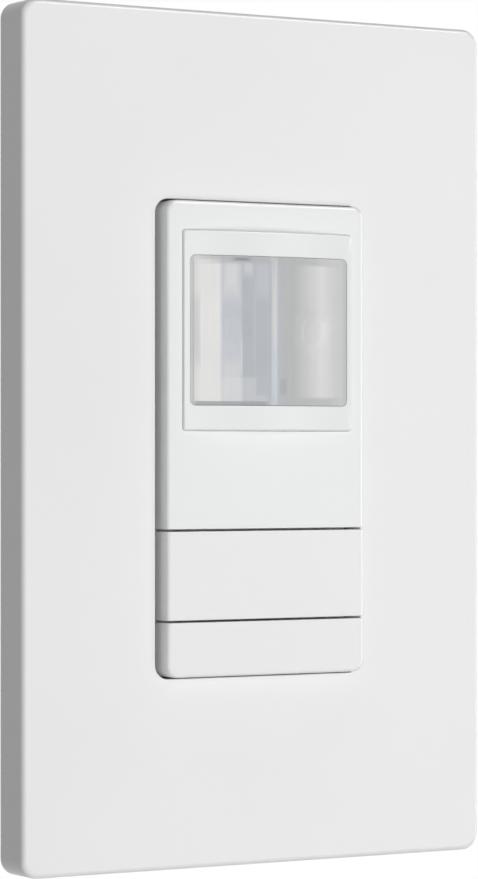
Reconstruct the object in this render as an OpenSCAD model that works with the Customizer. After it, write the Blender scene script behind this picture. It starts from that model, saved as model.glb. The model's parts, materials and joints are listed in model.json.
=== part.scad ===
// Wall switch with a passive infrared motion sensor, in a screwless one-gang cover plate.
// Millimetres. The wall is the plane y = 0, the front faces -Y, +Z is up.
// The origin is midway between the two screws that hold the switch to its wall box.

/* [Cover plate] */
// Width of the clip-on cover
plate_w = 74.6; // [72:0.1:90]
// Height of the clip-on cover
plate_h = 119.1; // [116:0.1:135]
// How far the cover stands off the wall
plate_d = 6.6; // [6:0.1:8]
// Wall of the cover
plate_wall = 2; // [1.6:0.1:2.4]
// Outer corner radius of the cover
plate_corner_r = 2.4; // [2:0.1:6]
// Rounding of the cover's front edge
plate_edge_r = 0.9; // [0.4:0.1:1.2]
// Width of the opening in the cover
opening_w = 33.9; // [33:0.1:36]
// Height of the opening in the cover
opening_h = 66.5; // [64:0.1:70]
// Corner radius of the opening
opening_r = 2.2; // [1.5:0.1:3]
// Wall of the lip around the opening
lip_wall = 1.2; // [0.8:0.1:1.6]
// Depth of the lip behind the front wall
lip_d = 1; // [0.6:0.1:1.2]
// Length of each clip ridge inside the cover
ridge_l = 12; // [6:0.5:16]
// How far a clip ridge reaches inwards
ridge_in = 0.9; // [0.7:0.05:1.1]
// Thickness of a clip ridge
ridge_t = 0.6; // [0.4:0.05:0.7]
// Distance of the side ridges above and below the middle
ridge_z = 30; // [20:0.5:40]
// Radius of the stops that seat the cover
stop_r = 1.6; // [1:0.1:2.2]
// How far the stops are set in from the sub plate's edges
stop_in = 7; // [4:0.5:9]

/* [Sub plate] */
// Thickness of the plate that the cover clips onto
sub_t = 2; // [1.5:0.1:2.2]
// Gap between the sub plate and the inside of the cover
clip_gap = 0.4; // [0.2:0.05:0.5]
// Gap between the sub plate and the nose of the switch
sub_nose_gap = 1.6; // [0.8:0.1:2]
// Width of the rib that meets the wall
rib_wall = 1.2; // [0.8:0.1:1.4]
// How far the rib is set in from the sub plate's edge
rib_inset = 1.8; // [1.5:0.1:2]

/* [Strap and screws] */
// Thickness of the steel strap
strap_t = 1.2; // [1:0.1:1.4]
// Gap between the strap's ends and the rib of the sub plate
strap_rib_gap = 1.15; // [0.5:0.05:2.5]
// Width of the strap's ears
ear_w = 30; // [24:0.5:40]
// How far the strap's middle reaches past the housing, at its sides
strap_side = 0.7; // [0.3:0.1:1.5]
// How far the strap's middle reaches past the housing, at its ends
strap_end = 2.5; // [1:0.1:3]
// Distance between the box screws
box_pitch = 83.3; // [82.5:0.1:84]
// How far each plate screw lies beyond its box screw
plate_screw_out = 6.75; // [6.4:0.05:7.5]
// Radius of the box and plate screws
screw_r = 1.75; // [1.6:0.05:1.8]
// Radius of a box screw's head
box_head_r = 3.2; // [2.6:0.1:3.4]
// Radius of the neck that keeps a box screw in the strap
box_neck_r = 1.5; // [1.3:0.05:1.55]
// Height of a box screw's head
box_head_t = 2.1; // [1.5:0.1:2.4]
// Length of a box screw below its head
box_screw_l = 24; // [16:1:40]
// Radius of a plate screw's countersunk head
flat_head_r = 2.9; // [2.5:0.05:3]
// Length of a plate screw
plate_screw_l = 9; // [6:0.5:14]
// Length of the slot that lets a box screw shift sideways
box_slot_l = 7; // [5:0.5:9]
// Width of the drive slot in the screw heads
drive_w = 0.8; // [0.5:0.1:1.2]
// Depth of the drive slot in the screw heads
drive_d = 0.9; // [0.5:0.1:1.1]

/* [Nose and front housing] */
// Gap between the nose and the sides of the opening
side_gap = 0.9; // [0.4:0.05:1.2]
// Gap between the nose and the ends of the opening
end_gap = 0.35; // [0.25:0.05:0.8]
// How far the nose stands out of the cover
nose_proud = 2.2; // [1.5:0.1:3]
// Corner radius of the nose
nose_r = 1.7; // [1.2:0.1:2.4]
// Rounding of the nose's front edges
nose_edge_r = 0.45; // [0.2:0.05:0.7]
// Wall of the nose
nose_wall = 1.5; // [1.2:0.1:1.8]
// Thickness of the fascia around the lens
fascia_t = 1.8; // [1.4:0.1:2.2]
// Width of the housing's shoulder beside the nose
shoulder_side = 5.3; // [4.8:0.1:7]
// Width of the housing's shoulder past the nose's ends
shoulder_end = 1.9; // [1.5:0.1:2.8]
// Thickness of the housing's flange behind the strap
flange_t = 2.5; // [2:0.1:3.5]
// Height of the pads that seat the sensor board
pad_h = 0.5; // [0.3:0.1:1]
// Gap between the nose and the strap's window
strap_gap = 0.3; // [0.2:0.05:0.6]

/* [Keys] */
// Height of the on and off button
button_h = 12.26; // [10:0.1:14]
// Height of the narrow lower key
lower_key_h = 7.57; // [7:0.1:9]
// Gap above each key
key_gap = 0.3; // [0.2:0.05:0.5]
// How far the keys stand out past the fascia
key_proud = 0.1; // [0:0.05:0.4]
// Wall of the keys
key_wall = 1.4; // [1:0.1:1.8]
// How far the keys reach back behind the cover's face
key_lap = 2; // [1.5:0.1:2.5]
// Travel of the keys
key_travel = 0.8; // [0.4:0.1:1.2]
// Room left behind a fully pressed key
key_stop_gap = 0.3; // [0.2:0.05:0.5]
// Thickness of the deck behind the keys
deck_t = 1.5; // [1:0.1:2]
// Radius of the post that presses the switch
post_r = 1.6; // [1:0.1:2]
// Distance of each guide leg from the middle
leg_x = 11; // [8:0.5:12]
// Width of a guide leg
leg_w = 3; // [2:0.1:4]
// Thickness of a guide leg
leg_t = 1.6; // [1.2:0.1:2]
// How far the hook of a guide leg catches
hook_in = 0.8; // [0.6:0.05:1]
// Clearance of the legs and posts in the deck
guide_gap = 0.3; // [0.2:0.05:0.4]

/* [Lens] */
// Margin from the lens frame to the nose's sides
frame_side = 2.45; // [2.3:0.05:4]
// Margin from the lens frame to the top of the nose
frame_top = 4.15; // [3:0.05:6]
// Height of the lens frame
frame_h = 27.5; // [24:0.1:32]
// How far the frame's sides stand out of the fascia
frame_raise = 0.4; // [0.2:0.05:0.8]
// How far the frame bulges between its sides
frame_crown = 1.25; // [0.8:0.05:1.8]
// Width of the frame beside the lens
bezel_side = 0.8; // [0.6:0.05:1.6]
// Width of the frame above and below the lens
bezel_end = 3.25; // [2.5:0.05:4]
// Corner radius of the frame
frame_r = 0.3; // [0.2:0.1:1.5]
// Corner radius of the lens
lens_r = 0.8; // [0.4:0.1:1.5]
// Gap around the frame and around the lens
frame_gap = 0.12; // [0.05:0.01:0.2]
// Width and thickness of the rim that holds the frame and the lens from behind
rim = 0.8; // [0.6:0.05:0.9]
// How far the lens lies below the frame
lens_recess = 0.15; // [0.05:0.05:0.4]
// Thickness of the lens
lens_t = 1; // [0.6:0.1:1.4]
// Radius of the rib down the middle of the lens
lens_rib_r = 0.45; // [0.3:0.05:0.7]

/* [Sensor board] */
// Thickness of both circuit boards
board_t = 1.6; // [1:0.1:2]
// Gap between a circuit board and the housing's walls
board_gap = 0.25; // [0.15:0.05:0.5]
// Wall of the cup behind the lens
cup_wall = 1.2; // [0.8:0.1:1.6]
// Radius of the infrared detector's can
can_r = 4.1; // [3.5:0.1:4.6]
// Height of the detector's can
can_h = 4.2; // [3.6:0.1:5]
// Wall of the detector's can
can_wall = 0.3; // [0.2:0.05:0.4]
// Width of the detector's window
window_w = 4; // [3:0.1:4.6]
// Height of the detector's window
window_h = 3; // [2:0.1:4]
// Radius of the status light
led_r = 1.5; // [1:0.1:2]
// Height of the status light
led_h = 5; // [3:0.1:6]
// Radius of the daylight cell
cell_r = 2.2; // [1.5:0.1:2.6]
// Height of the daylight cell
cell_h = 3.2; // [2.6:0.1:4]
// Distance of the light and the cell below the detector
cell_drop = 7.4; // [7:0.1:7.8]
// Side of the control chip
chip_w = 7; // [5:0.1:10]
// Thickness of the control chip
chip_t = 1; // [0.6:0.1:1.6]
// Width of a push switch
switch_w = 4.5; // [4:0.1:4.8]
// Height of a push switch
switch_h = 3.4; // [3.2:0.1:3.8]
// Radius of a push switch's plunger
plunger_r = 1.5; // [1:0.1:1.7]
// How far a plunger stands out
plunger_out = 1.2; // [1.2:0.1:1.5]
// Gap between a key's post and its plunger
press_gap = 0.1; // [0.05:0.01:0.15]
// Running gap of a plunger in its switch
plunger_gap = 0.15; // [0.1:0.01:0.3]

/* [Rear housing] */
// Depth of the housing behind the wall
body_d = 31; // [29:0.5:45]
// Wall of the rear housing
body_wall = 1.8; // [1.5:0.1:2.2]
// Corner radius of the housing
body_r = 2.5; // [1.5:0.1:3]
// Radius of the housing screws
case_screw_r = 1.25; // [1:0.05:1.4]
// Radius of the housing screws' heads
case_head_r = 2.2; // [1.8:0.1:2.4]
// Depth of the housing screws' heads
case_head_t = 1.4; // [1:0.1:1.6]
// Distance of the housing screws from the housing's edges
case_screw_in = 3.2; // [3:0.1:3.4]
// Clearance of the housing screws in the plastic
case_screw_gap = 0.2; // [0.1:0.05:0.3]
// Height of the posts under the power board
post_h = 4.6; // [4:0.1:6]
// Radius of the posts under the power board
power_post_r = 2; // [1.5:0.1:2.5]
// Bore of the bushes that the leads leave through
lead_r = 1.6; // [1.2:0.1:2]
// Wall of the lead bushes
bush_wall = 0.8; // [0.6:0.1:1]
// Flange of the lead bushes
bush_flange = 1; // [0.6:0.1:1.4]
// Distance between the lead bushes
lead_pitch = 10; // [8.5:0.1:11]

/* [Power board] */
// Width of the relay's cover
relay_w = 17; // [16.4:0.1:17.2]
// Height of the relay's cover
relay_h = 20.6; // [20:0.1:22]
// How far the relay stands out of the board
relay_d = 14.8; // [14:0.1:16]
// Wall of the relay's cover
relay_wall = 0.7; // [0.5:0.05:1]
// Thickness of the relay's base
relay_base_t = 1.5; // [1:0.1:2]
// Radius of the relay's winding
coil_r = 5; // [4:0.1:5.6]
// Radius of the relay's iron core
core_r = 2; // [1.5:0.1:2.5]
// Thickness of the relay's iron yoke and armature
iron_t = 1.1; // [0.8:0.1:1.3]
// Width of the relay's iron yoke and armature
iron_w = 10; // [8:0.1:12]
// Gap between the open armature and the core
core_gap = 0.45; // [0.35:0.05:0.6]
// Gap between the open contacts
contact_gap = 0.75; // [0.65:0.05:0.9]
// Radius of the relay's contacts
contact_r = 1; // [0.7:0.1:1.3]
// Width of the film capacitor
film_w = 12.4; // [10:0.1:13]
// Height of the film capacitor
film_h = 16; // [12:0.1:17]
// How far the film capacitor stands out of the board
film_d = 11; // [8:0.1:14]
// Radius of the smoothing capacitor
smooth_r = 4; // [3:0.1:5]
// How far the smoothing capacitor stands out of the board
smooth_d = 11.5; // [8:0.1:14]
// Radius of the surge protector's disc
surge_r = 5; // [3.5:0.1:6]
// Thickness of the surge protector's disc
surge_t = 3.5; // [2.5:0.1:4.5]
// Number of pins between the boards
pin_count = 6; // [3:1:8]
// Distance between the pins
pin_pitch = 2.54; // [2:0.01:2.6]
// Radius of the component leads and pins
pin_r = 0.3; // [0.2:0.05:0.4]

/* [Hidden] */
$fn = 48;

// Cut past a face, so that no skin is left
past = 1;
// Clearance between pieces that are fitted together
fit_gap = 0.1;

// Depths of the front, from the wall outwards
plate_front = -plate_d;
cover_inner = plate_front + plate_wall;
strap_front = -strap_t;
sub_front = strap_front - sub_t;
fascia_front = plate_front - nose_proud;
fascia_back = fascia_front + fascia_t;
key_front = fascia_front - key_proud;

// Outlines of the nose, the housing and the strap
nose_w = opening_w - 2 * side_gap;
nose_h = opening_h - 2 * end_gap;
inner_w = nose_w - 2 * nose_wall;
inner_h = nose_h - 2 * nose_wall;
body_w = nose_w + 2 * shoulder_side;
body_h = nose_h + 2 * shoulder_end;
strap_w = body_w + 2 * strap_side;
sub_w = plate_w - 2 * plate_wall - 2 * clip_gap;
sub_h = plate_h - 2 * plate_wall - 2 * clip_gap;
strap_l = sub_h - 2 * (rib_inset + rib_wall + strap_rib_gap);
plate_pitch = box_pitch + 2 * plate_screw_out;
sub_window_w = nose_w + 2 * sub_nose_gap;
sub_window_h = nose_h + 2 * sub_nose_gap;

// Keys, from the bottom of the nose upwards
nose_bottom = -nose_h / 2;
lower_top = nose_bottom + lower_key_h;
lower_z = nose_bottom + lower_key_h / 2;
button_bottom = lower_top + key_gap;
button_top = button_bottom + button_h;
button_z = button_bottom + button_h / 2;
fascia_bottom = button_top + key_gap;
skirt_end = plate_front + key_lap;
deck_front = skirt_end + key_travel + key_stop_gap;
deck_back = deck_front + deck_t;

// Sensor board and what stands on it
board_front = flange_t + pad_h;
board_back = board_front + board_t;
board_w = body_w - 2 * body_wall - 2 * board_gap;
board_h = body_h - 2 * body_wall - 2 * board_gap;
switch_front = board_front - switch_h;
plunger_tip = switch_front - plunger_out;
post_tip = plunger_tip - press_gap;
// A plunger reaches this far into its switch, and its well leaves room for the travel
plunger_in = 0.8;
well_back = switch_front + plunger_in + key_travel + plunger_gap;
// The lower switch stands a little above its key's middle, clear of the nose's wall
switch_clear = 0.4;
lower_switch_z = max(lower_z, nose_bottom + nose_wall + switch_w / 2 + switch_clear);
// Hooks catch just behind the deck
hook_play = 0.1;
hook_t = 1;

// Lens, from its frame inwards
frame_w = nose_w - 2 * frame_side;
frame_z = nose_h / 2 - frame_top - frame_h / 2;
frame_crest = fascia_front - frame_raise - frame_crown;
frame_bow_r = (pow(frame_w / 2, 2) + pow(frame_crown, 2)) / (2 * frame_crown);
frame_back = fascia_back + rim;
lens_w = frame_w - 2 * bezel_side;
lens_h = frame_h - 2 * bezel_end;
lens_back = frame_back + rim;
cup_w = lens_w + 2 * rim;
cup_h = lens_h + 2 * rim;
// The cup's floor lies this far ahead of the board, clear of the detector's flange
cup_floor_gap = 1.2;
can_flange = 0.5;
can_flange_r = can_r + can_flange;
can_flange_t = 0.6;
can_front = board_front - can_h;
// The detector's pins lie this far inside its can
detector_pin_in = 1.3;
detector_pin_circle = can_r - can_wall - detector_pin_in;
detector_pins = [45, 135, 225];
// The status light and the daylight cell stand on either side of the detector's middle line
light_apart = 1;
light_x = led_r + light_apart;
cell_x = -cell_r - light_apart;

// Rear housing and the power board
floor_front = body_d - body_wall;
power_back = floor_front - post_h;
power_front = power_back - board_t;
case_screw_x = body_w / 2 - case_screw_in;
case_screw_z = body_h / 2 - case_screw_in;
column_wall = 0.9;
column_r = case_head_r + column_wall;
// Ledges on the side walls carry the sensor board
ledge_w = 2;
ledge_h = 6;
ledge_z = 14;
ledge_x = body_w / 2 - body_wall - ledge_w;
power_w = 2 * (ledge_x - board_gap);
power_h = board_h;
post_in = 1.5;
post_below = 4;
power_post_x = power_w / 2 - power_post_r - post_in;
power_post_z = power_h / 2 - column_r - power_post_r - post_below;
lead_hole_r = lead_r + bush_wall;
lead_below = 2;
lead_z = power_post_z - power_post_r - lead_hole_r - lead_below;
// The bushes stand this far out of both faces of the housing's floor
bush_out = 0.8;
bush_back = body_d + bush_out;
bush_front = floor_front - bush_out;
pin_in = 2.5;
pin_z = power_h / 2 - pin_in;

// Relay, standing on the power board
part_in = 0.3;
relay_above = 9;
relay_x = -power_w / 2 + relay_w / 2 + part_in;
relay_z = -power_h / 2 + relay_h / 2 + relay_above;
relay_base_front = power_front - relay_base_t;
relay_top = power_front - relay_d;
relay_seat_gap = 0.1;
bobbin_rim = 0.6;
bobbin_r = coil_r + bobbin_rim;
bobbin_t = 0.8;
yoke_foot_front = relay_base_front - iron_t;
yoke_gap = 0.4;
yoke_z = relay_z + bobbin_r + yoke_gap;
armature_room = 0.6;
armature_front = relay_top + relay_wall + armature_room;
armature_back = armature_front + iron_t;
pivot_gap = 0.15;
core_tip = armature_back + core_gap;
yoke_tip = armature_back + pivot_gap;
pivot_z = yoke_z + iron_t / 2;
armature_short = 1;
armature_end = relay_z - bobbin_r + armature_short;
contact_apart = 0.5;
contact_z = relay_z - bobbin_r - contact_r - contact_apart;
blade_t = 0.3;
contact_t = 0.6;

// Parts beside the relay
film_x = power_w / 2 - film_w / 2 - part_in;
film_z = relay_z;
row_gap = 1;
row_z = max(relay_z + relay_h / 2, film_z + film_h / 2) + max(smooth_r, surge_r) + row_gap;
smooth_x = power_w / 4;
surge_x = -power_w / 4;
// The surge protector's disc stands on two leads
surge_stand = 0.5;
surge_lead = surge_r / 2;
// Leads reach this far through their board
lead_through = 0.8;
pin_clear = 0.15;

// Solid between two depths, from an outline in x and z
module slab(y0, y1) {
    translate([0, y1, 0]) rotate([90, 0, 0]) linear_extrude(y1 - y0) children();
}

// Round bar along y
module rod(x, z, y0, y1, r) {
    translate([x, y1, z]) rotate([90, 0, 0]) cylinder(h = y1 - y0, r = r);
}

// Rectangle with round corners
module rounded(w, h, r) {
    square([w - 2 * r, h], center = true);
    square([w, h - 2 * r], center = true);
    for (x = [-1, 1], z = [-1, 1]) translate([x * (w / 2 - r), z * (h / 2 - r)]) circle(r);
}

// Section across a rolled edge: r wide, d deep, its front corner rounded by e
module edge_section(r, d, e) {
    square([r - e, d]);
    translate([0, e]) square([r, d - e]);
    translate([r - e, e]) circle(e);
}

// Rounded block whose front edges are rolled over with radius e: a core, four edges, four corners
module rolled(w, h, front, back, r, e) {
    flat_w = w - 2 * r;
    flat_h = h - 2 * r;
    d = back - front;
    translate([-flat_w / 2, front, -flat_h / 2]) cube([flat_w, d, flat_h]);
    for (turn = [0, 180]) {
        rotate([0, turn, 0]) translate([flat_w / 2, front, -flat_h / 2])
            linear_extrude(flat_h) edge_section(r, d, e);
        rotate([0, turn + 90, 0]) translate([flat_h / 2, front, -flat_w / 2])
            linear_extrude(flat_w) edge_section(r, d, e);
    }
    // Each corner: its side in x, its side in z, and its turn
    for (corner = [[1, -1, 0], [-1, -1, 90], [-1, 1, 180], [1, 1, 270]])
        translate([corner[0] * flat_w / 2, front, corner[1] * flat_h / 2])
            rotate([0, corner[2], 0]) rotate([-90, 0, 0])
                rotate_extrude(angle = 90) edge_section(r, d, e);
}

// Everything between two heights
module band(z0, z1) {
    translate([-plate_w, -plate_w, z0]) cube([2 * plate_w, 2 * plate_w, z1 - z0]);
}

// Block with its crest at y and a front face bowed to radius r, in an outline given as a child
module bowed(crest, r, back) {
    intersection() {
        translate([0, crest + r, -plate_h]) cylinder(h = 2 * plate_h, r = r, $fn = 360);
        slab(crest - past, back) children();
    }
}

// A cross of two drive slots sunk into a screw head that faces -Y at depth y
module drive(x, z, y, r) {
    for (turn = [0, 90])
        translate([x, y, z]) rotate([0, turn, 0]) translate([-r, -past, -drive_w / 2])
            cube([2 * r, drive_d + past, drive_w]);
}

// Places of the housing screws
module at_case_screws() {
    for (x = [-1, 1], z = [-1, 1]) translate([x * case_screw_x, z * case_screw_z]) children();
}

// Outline of a circuit board that clears the housing's corner columns
module board_outline(w, h) {
    difference() {
        square([w, h], center = true);
        at_case_screws() circle(column_r + board_gap);
    }
}

module cover_plate() color("whitesmoke") {
    difference() {
        rolled(plate_w, plate_h, plate_front, 0, plate_corner_r, plate_edge_r);
        slab(cover_inner, past)
            square([plate_w - 2 * plate_wall, plate_h - 2 * plate_wall], center = true);
        slab(plate_front - past, past) rounded(opening_w, opening_h, opening_r);
    }
    slab(cover_inner, cover_inner + lip_d) difference() {
        rounded(opening_w + 2 * lip_wall, opening_h + 2 * lip_wall, opening_r + lip_wall);
        rounded(opening_w, opening_h, opening_r);
    }
    for (x = [-1, 1], z = [-1, 0, 1])
        rod(x * (sub_w / 2 - stop_in), z * (sub_h / 2 - stop_in), cover_inner, sub_front, stop_r);
    // Ridges that clip in behind the edge of the sub plate
    for (x = [-1, 1], z = [-1, 1])
        translate([x * (plate_w / 2 - plate_wall - ridge_in / 2),
                strap_front + fit_gap + ridge_t / 2, z * ridge_z])
            cube([ridge_in, ridge_t, ridge_l], center = true);
    for (z = [-1, 1])
        translate([0, strap_front + fit_gap + ridge_t / 2,
                z * (plate_h / 2 - plate_wall - ridge_in / 2)])
            cube([ridge_l, ridge_t, ridge_in], center = true);
}

module sub_plate() color("white") {
    rib_w = sub_w - 2 * rib_inset;
    rib_h = sub_h - 2 * rib_inset;
    difference() {
        union() {
            slab(sub_front, strap_front) square([sub_w, sub_h], center = true);
            slab(strap_front, 0) difference() {
                square([rib_w, rib_h], center = true);
                square([rib_w - 2 * rib_wall, rib_h - 2 * rib_wall], center = true);
            }
        }
        slab(sub_front - past, strap_front + past) {
            square([sub_window_w, sub_window_h], center = true);
            // Notches that clear the box screws' heads
            square([2 * (box_head_r + guide_gap), box_pitch], center = true);
            for (z = [-1, 1]) translate([0, z * box_pitch / 2]) circle(box_head_r + guide_gap);
        }
        for (z = [-1, 1]) {
            rod(0, z * plate_pitch / 2, sub_front - past, past, screw_r + fit_gap);
            translate([0, sub_front, z * plate_pitch / 2]) rotate([-90, 0, 0])
                cylinder(h = flat_head_r - screw_r, r1 = flat_head_r + fit_gap,
                    r2 = screw_r + fit_gap);
        }
    }
}

module sub_plate_screws() color("white") {
    for (z = [-1, 1]) difference() {
        union() {
            rod(0, z * plate_pitch / 2, sub_front, sub_front + plate_screw_l, screw_r);
            translate([0, sub_front, z * plate_pitch / 2]) rotate([-90, 0, 0])
                cylinder(h = flat_head_r - screw_r, r1 = flat_head_r, r2 = screw_r);
        }
        translate([-flat_head_r - past, sub_front - past, z * plate_pitch / 2 - drive_w / 2])
            cube([2 * (flat_head_r + past), past + drive_d, drive_w]);
    }
}

module strap() color("silver") {
    slab(strap_front, 0) difference() {
        union() {
            rounded(strap_w, body_h + 2 * strap_end, body_r);
            rounded(ear_w, strap_l, body_r);
        }
        rounded(nose_w + 2 * strap_gap, nose_h + 2 * strap_gap, nose_r + strap_gap);
        for (z = [-1, 1]) {
            translate([0, z * box_pitch / 2]) {
                square([box_slot_l - 2 * (screw_r + guide_gap), 2 * (screw_r + guide_gap)],
                    center = true);
                for (x = [-1, 1])
                    translate([x * (box_slot_l / 2 - screw_r - guide_gap), 0])
                        circle(screw_r + guide_gap);
            }
            translate([0, z * plate_pitch / 2]) circle(screw_r + fit_gap);
        }
        at_case_screws() circle(case_screw_r + fit_gap);
    }
}

module box_screws() color("silver") {
    for (z = [-1, 1]) difference() {
        union() {
            rod(0, z * box_pitch / 2, strap_front - box_head_t, strap_front, box_head_r);
            rod(0, z * box_pitch / 2, strap_front, 0, box_neck_r);
            rod(0, z * box_pitch / 2, 0, strap_front + box_screw_l, screw_r);
        }
        drive(0, z * box_pitch / 2, strap_front - box_head_t, screw_r + fit_gap);
    }
}

// Slots and holes in the deck for one key's legs and post
module key_ways(z, post_z) {
    for (x = [-1, 1])
        translate([x * leg_x, z])
            square([leg_w + 2 * guide_gap, leg_t + 2 * guide_gap], center = true);
    translate([0, post_z]) circle(post_r + guide_gap);
}

module front_housing() color("whitesmoke") {
    difference() {
        union() {
            difference() {
                rolled(nose_w, nose_h, fascia_front, flange_t, nose_r, nose_edge_r);
                // Room for the keys, ahead of the deck
                translate([-nose_w, fascia_front - past, nose_bottom - past])
                    cube([2 * nose_w, deck_front - fascia_front + past,
                        fascia_bottom - nose_bottom + past]);
            }
            slab(0, flange_t) rounded(body_w, body_h, body_r);
            for (x = [-1, 1], z = [-1, 1])
                translate([x * (ledge_x + ledge_w / 2), flange_t + pad_h / 2, z * ledge_z])
                    cube([ledge_w, pad_h, ledge_h], center = true);
        }
        // Room behind the fascia, and behind the deck
        intersection() {
            slab(fascia_back, flange_t + past) square([inner_w, inner_h], center = true);
            band(fascia_bottom + nose_wall, plate_h);
        }
        slab(deck_back, flange_t + past) square([inner_w, inner_h], center = true);
        translate([0, 0, frame_z]) slab(fascia_front - past, fascia_back + past)
            rounded(frame_w + 2 * frame_gap, frame_h + 2 * frame_gap, frame_r + frame_gap);
        slab(deck_front - past, deck_back + past) {
            key_ways(button_z, button_z);
            key_ways(lower_z, lower_switch_z);
        }
        slab(-past, flange_t + past) at_case_screws() circle(case_screw_r + case_screw_gap);
    }
}

// Key between two heights, with its guide legs, and a post that presses its switch
module key(z0, z1, post_z) {
    mid = (z0 + z1) / 2;
    face_back = key_front + key_wall;
    intersection() {
        difference() {
            rolled(nose_w, nose_h, key_front, skirt_end, nose_r, nose_edge_r);
            translate([-nose_w / 2 + key_wall, face_back, z0 + key_wall])
                cube([nose_w - 2 * key_wall, skirt_end - face_back + past,
                    z1 - z0 - 2 * key_wall]);
        }
        band(z0, z1);
    }
    rod(0, post_z, face_back - key_wall / 2, post_tip, post_r);
    for (x = [-1, 1]) {
        translate([x * leg_x - leg_w / 2, face_back - key_wall / 2, mid - leg_t / 2])
            cube([leg_w, deck_back + hook_play + hook_t - face_back + key_wall / 2, leg_t]);
        translate([x * leg_x - leg_w / 2, deck_back + hook_play, mid - leg_t / 2])
            cube([leg_w, hook_t, leg_t + hook_in]);
    }
}

module on_off_button() color("white") key(button_bottom, button_top, button_z);

module lower_key() color("white") key(nose_bottom, lower_top, lower_switch_z);

module lens_frame() color("white") translate([0, 0, frame_z]) difference() {
    union() {
        bowed(frame_crest, frame_bow_r, frame_back) rounded(frame_w, frame_h, frame_r);
        slab(fascia_back, frame_back)
            rounded(frame_w + 2 * rim, frame_h + 2 * rim, frame_r + rim);
    }
    slab(frame_crest - past, frame_back + past)
        rounded(lens_w + 2 * frame_gap, lens_h + 2 * frame_gap, lens_r + frame_gap);
}

module fresnel_lens() color("lightsteelblue") translate([0, 0, frame_z]) {
    crest = frame_crest + lens_recess;
    bow_r = frame_bow_r - lens_recess;
    difference() {
        union() {
            bowed(crest, bow_r, lens_back) rounded(lens_w, lens_h, lens_r);
            slab(frame_back, lens_back)
                rounded(lens_w + 2 * rim, lens_h + 2 * rim, lens_r + rim);
        }
        bowed(crest + lens_t, bow_r - lens_t, lens_back + past)
            square([lens_w - 2 * lens_t, lens_h - 2 * lens_t], center = true);
    }
    // Rib where the two halves of the lens meet
    translate([0, crest + lens_rib_r / 2, -lens_h / 2 + lens_t])
        cylinder(h = lens_h - 2 * lens_t, r = lens_rib_r);
}

module sensor_cup() color("white") translate([0, 0, frame_z]) difference() {
    slab(lens_back, board_front) square([cup_w, cup_h], center = true);
    slab(lens_back - past, board_front - cup_floor_gap - cup_wall)
        square([cup_w - 2 * cup_wall, cup_h - 2 * cup_wall], center = true);
    slab(board_front - cup_floor_gap, board_front + past)
        square([cup_w - 2 * cup_wall, cup_h - 2 * cup_wall], center = true);
    rod(0, 0, lens_back, board_front, can_r + fit_gap);
    rod(light_x, -cell_drop, lens_back, board_front, led_r + fit_gap);
    rod(cell_x, -cell_drop, lens_back, board_front, cell_r + fit_gap);
}

module detector_can() color("silver") translate([0, 0, frame_z]) difference() {
    union() {
        rod(0, 0, can_front, board_front, can_r);
        rod(0, 0, board_front - can_flange_t, board_front, can_flange_r);
    }
    rod(0, 0, can_front + can_wall, board_front + past, can_r - can_wall);
    slab(can_front - past, can_front + can_wall + past)
        square([window_w, window_h], center = true);
}

module detector_window() color("dimgray") translate([0, 0, frame_z])
    slab(can_front + can_wall, can_front + 2 * can_wall)
        square([window_w + 2 * can_wall, window_h + 2 * can_wall], center = true);

module detector_base() color("gainsboro") translate([0, 0, frame_z]) {
    rod(0, 0, board_front - can_flange_t, board_front, can_r - can_wall - fit_gap);
    for (turn = detector_pins)
        rod(detector_pin_circle * cos(turn), detector_pin_circle * sin(turn),
            board_front, board_back + lead_through, pin_r);
}

module sensor_board() color("darkgreen") slab(board_front, board_back) difference() {
    board_outline(board_w, board_h);
    translate([0, frame_z]) for (turn = detector_pins)
        translate([detector_pin_circle * cos(turn), detector_pin_circle * sin(turn)])
            circle(pin_r + pin_clear);
    at_board_pins() circle(pin_r + pin_clear);
}

module status_light() color("tomato")
    translate([light_x, board_front, frame_z - cell_drop]) rotate([90, 0, 0])
        rotate_extrude() intersection() {
            union() {
                square([led_r, led_h - led_r]);
                translate([0, led_h - led_r]) circle(led_r);
            }
            square([led_r, led_h]);
        }

module daylight_cell() color("khaki") translate([cell_x, 0, frame_z - cell_drop])
    rod(0, 0, board_front - cell_h, board_front, cell_r);

module control_chip() color("black")
    translate([0, board_back + chip_t / 2, row_z])
        cube([chip_w, chip_t, chip_w], center = true);

// Body of a push switch, with the well that its plunger runs in
module push_switch(z) {
    difference() {
        translate([-switch_w / 2, switch_front, z - switch_w / 2])
            cube([switch_w, switch_h, switch_w]);
        rod(0, z, switch_front - past, well_back, plunger_r + plunger_gap);
    }
}

module on_off_switch() color("dimgray") push_switch(button_z);

module lower_switch() color("dimgray") push_switch(lower_switch_z);

module on_off_plunger() color("black")
    rod(0, button_z, plunger_tip, switch_front + plunger_in, plunger_r);

module lower_plunger() color("black")
    rod(0, lower_switch_z, plunger_tip, switch_front + plunger_in, plunger_r);

// Places of the pins between the boards
module at_board_pins() {
    for (i = [0 : pin_count - 1])
        translate([(i - (pin_count - 1) / 2) * pin_pitch, pin_z]) children();
}

module board_pins() color("gold") {
    slab(board_front - lead_through, power_back + lead_through) at_board_pins() circle(pin_r);
    slab(power_front - pin_pitch, power_front)
        translate([0, pin_z]) square([pin_count * pin_pitch, pin_pitch], center = true);
}

module power_board() color("darkgreen") slab(power_front, power_back) difference() {
    board_outline(power_w, power_h);
    at_board_pins() circle(pin_r + pin_clear);
    for (i = [-1 : 1]) translate([i * lead_pitch, lead_z]) circle(lead_hole_r);
    for (s = [-1, 1]) translate([surge_x + s * surge_lead, row_z]) circle(pin_r + pin_clear);
}

module relay_base() color("dimgray")
    translate([relay_x, relay_base_front + relay_base_t / 2, relay_z])
        cube([relay_w - 2 * relay_wall - 2 * fit_gap, relay_base_t,
            relay_h - 2 * relay_wall - 2 * fit_gap], center = true);

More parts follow.
